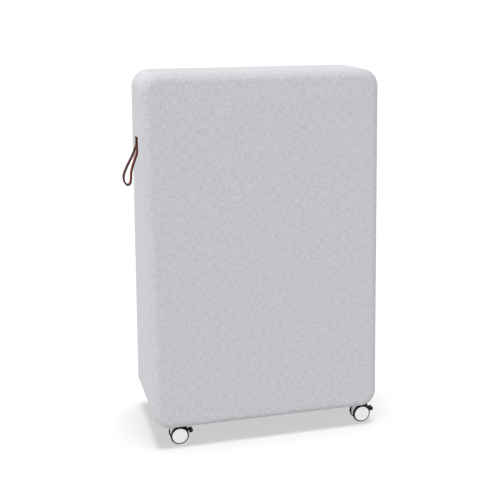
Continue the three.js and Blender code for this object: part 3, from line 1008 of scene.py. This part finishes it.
nylon = new_material("white nylon", (0.90, 0.90, 0.90), 0.34)
on_nylon = node(nylon, "TexCoord", output="Object")
flow = node(nylon, "TexNoise", {"Vector": on_nylon, "Scale": 45.0, "Detail": 4.0})
spark = node(nylon, "TexNoise", {"Vector": on_nylon, "Scale": 3000.0, "Detail": 2.0})
two_tones(nylon, flow, (0.86, 0.86, 0.855), (0.93, 0.93, 0.925))
shade(nylon, "Roughness", node(nylon, "MapRange", {"Value": flow, "To Min": 0.28, "To Max": 0.42}))
relief(nylon, spark, 0.00003)

shell = housing_mesh()
for corner in CORNERS:
    housing = castor_part(corner, "shell", "housing", shell, "castor", "white_plastic", nylon)
    round_edges(housing, 0.0012, 3)
dress(zinc, [f"{corner}_axle" for corner in CORNERS])


# ---------------------------------------------------------------- wheels
# Two discs of white nylon on each axle, dished on the outside with a shallow ring. A dark
# polyurethane tread is moulded round each, and its rounded shoulders show past the rim.
RIM = 0.0338
RIM_BREAK = 0.0006
RING = 0.0266
WEB = 0.0032
DISC_STEPS = 96
TREAD_RADIUS = 0.040
TREAD_SEAT = 0.0339
TREAD_SHOULDER = 0.0058
TREAD_STEPS = 7
TREAD_NEAR = 0.0003
TREAD_FAR = 0.0009
# The outside of a disc, from the rim to the middle: how far behind its face, and its radius.
DISH = [
    (0.0022, RIM),
    (0.0010, RIM - 0.0004),
    (0.0003, RIM - 0.0013),
    (0.0, RIM - 0.0028),
    (0.0, RING + 0.0022),
    (0.0002, RING + 0.0012),
    (0.0008, RING + 0.0004),
    (0.0011, RING - 0.0006),
    (0.0010, RING - 0.0022),
    (0.0006, RING - 0.0070),
    (0.0003, RING - 0.0150),
    (0.0002, 0.0),
]

near_face = abs(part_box("front_left_far_hub")[0].y - middle_of("front_left_axle").y)
far_face = abs(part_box("front_left_far_hub")[1].y - middle_of("front_left_axle").y)


def wheel_part(outline, side):
    """Turns an outline about the axle; side says which way along Y the wheel faces"""
    return turned([(side * a, r) for a, r in outline], (0, 1, 0), (0, 0, 0), DISC_STEPS)


def disc(side):
    """A disc whose blind hole takes the end of the axle"""
    outline = [
        (far_face - WEB, 0.0),
        (far_face - WEB, AXLE_HOLE),
        (near_face, AXLE_HOLE),
        (near_face, RIM - RIM_BREAK),
        (near_face + RIM_BREAK, RIM),
    ]
    outline += [(far_face - back, radius) for back, radius in DISH]
    return wheel_part(outline, side)


def tread(side):
    """A tyre with rounded shoulders, hollow where it sits on the disc"""
    low = near_face + TREAD_NEAR
    high = far_face - TREAD_FAR
    round_from = TREAD_RADIUS - TREAD_SHOULDER
    outline = [(low, TREAD_SEAT)]
    for across, out in arc(TREAD_SHOULDER, 0, 90, TREAD_STEPS):
        outline.append((low + TREAD_SHOULDER - across, round_from + out))
    for across, out in arc(TREAD_SHOULDER, 90, 0, TREAD_STEPS):
        outline.append((high - TREAD_SHOULDER + across, round_from + out))
    outline += [(high, TREAD_SEAT), (low, TREAD_SEAT)]
    return wheel_part(outline, side)


dull = {"Specular IOR Level": 0.12}
rubber = new_material("dark polyurethane", (0.010, 0.010, 0.011), 0.6, dull)
on_rubber = node(rubber, "TexCoord", output="Object")
scuff = node(rubber, "TexNoise", {"Vector": on_rubber, "Scale": 220.0, "Detail": 8.0})
two_tones(rubber, scuff, (0.006, 0.006, 0.0065), (0.016, 0.016, 0.017))
shade(rubber, "Roughness", node(rubber, "MapRange", {"Value": scuff, "To Min": 0.45, "To Max": 0.72}))
relief(rubber, scuff, 0.00006)

for way, side in (("near", -1), ("far", 1)):
    wheel = f"{way}_wheel"
    disc_mesh = mesh_of(disc(side), "disc")
    tread_mesh = mesh_of(tread(side), "tread")
    for corner in CORNERS:
        castor_part(corner, f"{way}_disc", f"{way}_hub", disc_mesh, wheel, "white_plastic", nylon)
        castor_part(corner, f"{way}_tread", f"{way}_tyre", tread_mesh, wheel, "tyre", rubber, 30)


# ---------------------------------------------------------------- brake pedals
# Black glass-filled nylon rockers on a cross pin. The foot presses the wide round toe down to lock
# the wheels, and the tip that stands over the pivot down to free them.
PEDAL_PIVOT = Vector((0.027, 0, 0.022))
ARM_HALF = 0.008
TOE_HALF = 0.0098
TOE = (0.0246, -0.011)
TOE_RADIUS = 0.0097
TOE_REACH = 0.0155
TOE_SLANT = Vector((1, 0, -0.25))
PEDAL_OUTLINE = [(-0.0045, -0.0022), (-0.0020, -0.0046), (0.0140, -0.0115)]
TIP_OUTLINE = [
    (0.0085, 0.0005),
    (0.0068, 0.0150),
    (0.0034, 0.0150),
    (-0.0030, 0.0040),
]


def pedal_mesh():
    """Drawn from the axle: an arm whose toe is wider on both sides"""
    toe = [(TOE[0] + x, TOE[1] + z) for x, z in arc(TOE_RADIUS, -165, 148, 26)]
    outline = [(PEDAL_PIVOT.x + x, PEDAL_PIVOT.z + z) for x, z in PEDAL_OUTLINE + toe + TIP_OUTLINE]
    bm = closed_solid(outline, -ARM_HALF, ARM_HALF)
    shoulder = PEDAL_PIVOT + Vector((TOE_REACH, 0, 0))
    cut_through(bm, shoulder, TOE_SLANT)
    for side in (-1, 1):
        cheeks = []
        for face in bm.faces:
            middle = face.calc_center_median()
            beyond = (middle - shoulder).dot(TOE_SLANT) > 0
            if beyond and abs(middle.y - side * ARM_HALF) < 1e-5:
                cheeks.append(face)
        pull_out(bm, cheeks, (0, side * (TOE_HALF - ARM_HALF), 0))
    bmesh.ops.recalc_face_normals(bm, faces=bm.faces)
    return mesh_of(bm, "pedal")


satin_skin = {"Specular IOR Level": 0.3}
nylon_black = new_material("black nylon", (0.008, 0.008, 0.009), 0.42, satin_skin)
on_pedal = node(nylon_black, "TexCoord", output="Object")
erosion = node(nylon_black, "TexNoise", {"Vector": on_pedal, "Scale": 1800.0, "Detail": 3.0})
haze = node(nylon_black, "TexNoise", {"Vector": on_pedal, "Scale": 90.0, "Detail": 5.0})
two_tones(nylon_black, haze, (0.006, 0.006, 0.007), (0.014, 0.014, 0.015))
satin = node(nylon_black, "MapRange", {"Value": haze, "To Min": 0.32, "To Max": 0.5})
shade(nylon_black, "Roughness", satin)
relief(nylon_black, erosion, 0.00005)

rocker = pedal_mesh()
for corner in CORNERS:
    pedal = castor_part(corner, "rocker", "brake_pedal", rocker, "pedal", "black_plastic", nylon_black)
    round_edges(pedal, 0.0013, 3)


# ---------------------------------------------------------------- camera
# The photograph's viewpoint: a little to the left of the front and a little above, with a lens that
# takes in about thirty degrees.
EYE = Vector((-1.0304, -3.830, 1.9010))
YAW = math.radians(15.198)
PITCH = math.radians(-15.743)
LENS = 67.62

camera = bpy.data.cameras.new("camera")
camera.sensor_width = 36
camera.lens = LENS
viewer = bpy.data.objects.new("camera", camera)
viewer.location = EYE
viewer.rotation_euler = (math.pi / 2 + PITCH, 0, -YAW)
bpy.context.scene.collection.objects.link(viewer)
bpy.context.scene.camera = viewer


# ---------------------------------------------------------------- floor and light
# A plain white studio floor and an even sky that is stronger overhead and on the left. One lamp
# straight above falls on the floor alone and prints the foot's soft, even shadow on it.
FLOOR_REACH = 60
FLOOR_GLOW = 0.575
FLOOR_TONE = 0.04
PRINT_STRENGTH = 0.425 / FLOOR_TONE * math.pi
PRINT_SOFTNESS = math.radians(21)
FLOOR_BOUNCE = 0.65
SKY_HORIZON = 1.20
SKY_ZENITH_GAIN = 0.36
SKY_LEFT_GAIN = 0.27
SKY_RIGHT_LOSS = 0.40

floor_bm = bmesh.new()
bmesh.ops.create_grid(floor_bm, x_segments=1, y_segments=1, size=FLOOR_REACH)
floor = bpy.data.objects.new("floor", mesh_of(floor_bm, "floor"))
bpy.context.scene.collection.objects.link(floor)
flat_white = {"Specular IOR Level": 0.0, "Emission Color": (1, 1, 1, 1)}
ground = new_material("studio floor", (FLOOR_TONE,) * 3, 1.0, flat_white)
viewed = node(ground, "LightPath", output="Is Camera Ray")
bounce = arithmetic(ground, "MULTIPLY_ADD", viewed, 1 - FLOOR_BOUNCE, FLOOR_BOUNCE)
shade(ground, "Emission Strength", arithmetic(ground, "MULTIPLY", bounce, FLOOR_GLOW))
two_tones(ground, bounce, (0, 0, 0), (FLOOR_TONE,) * 3)
floor.data.materials.append(ground)

lamp = bpy.data.lights.new("shadow print", "SUN")
lamp.energy = PRINT_STRENGTH
lamp.angle = PRINT_SOFTNESS
overhead = bpy.data.objects.new("shadow print", lamp)
overhead.location = (0, 0, 4)
bpy.context.scene.collection.objects.link(overhead)
lit = bpy.data.collections.new("lit by the shadow print")
lit.objects.link(floor)
overhead.light_linking.receiver_collection = lit
casting = bpy.data.collections.new("casts the shadow print")
for name in ("foot_cloth", "front_panel", "back_panel", "wrap_band"):
    casting.objects.link(bpy.data.objects[name])
overhead.light_linking.blocker_collection = casting

world = bpy.data.worlds.new("sky")
world.use_nodes = True
bpy.context.scene.world = world
sky = world.node_tree.nodes["Background"]
sky.inputs["Color"].default_value = (1, 1, 1, 1)
way = node(world, "TexCoord", output="Generated")
parts = node(world, "SeparateXYZ", {"Vector": way})
rise = arithmetic(world, "MAXIMUM", parts.node.outputs["Z"], 0.0)
left = arithmetic(world, "MULTIPLY_ADD", parts.node.outputs["X"], -SKY_LEFT_GAIN, SKY_HORIZON)
lit_sky = arithmetic(world, "MULTIPLY_ADD", rise, SKY_ZENITH_GAIN, left)
right = arithmetic(world, "MAXIMUM", parts.node.outputs["X"], 0.0)
light = arithmetic(world, "MULTIPLY_ADD", right, -SKY_RIGHT_LOSS, lit_sky)
seen = node(world, "LightPath", output="Is Camera Ray")
world.node_tree.links.new(arithmetic(world, "MAXIMUM", light, seen), sky.inputs["Strength"])
bpy.context.scene.view_settings.view_transform = "Standard"
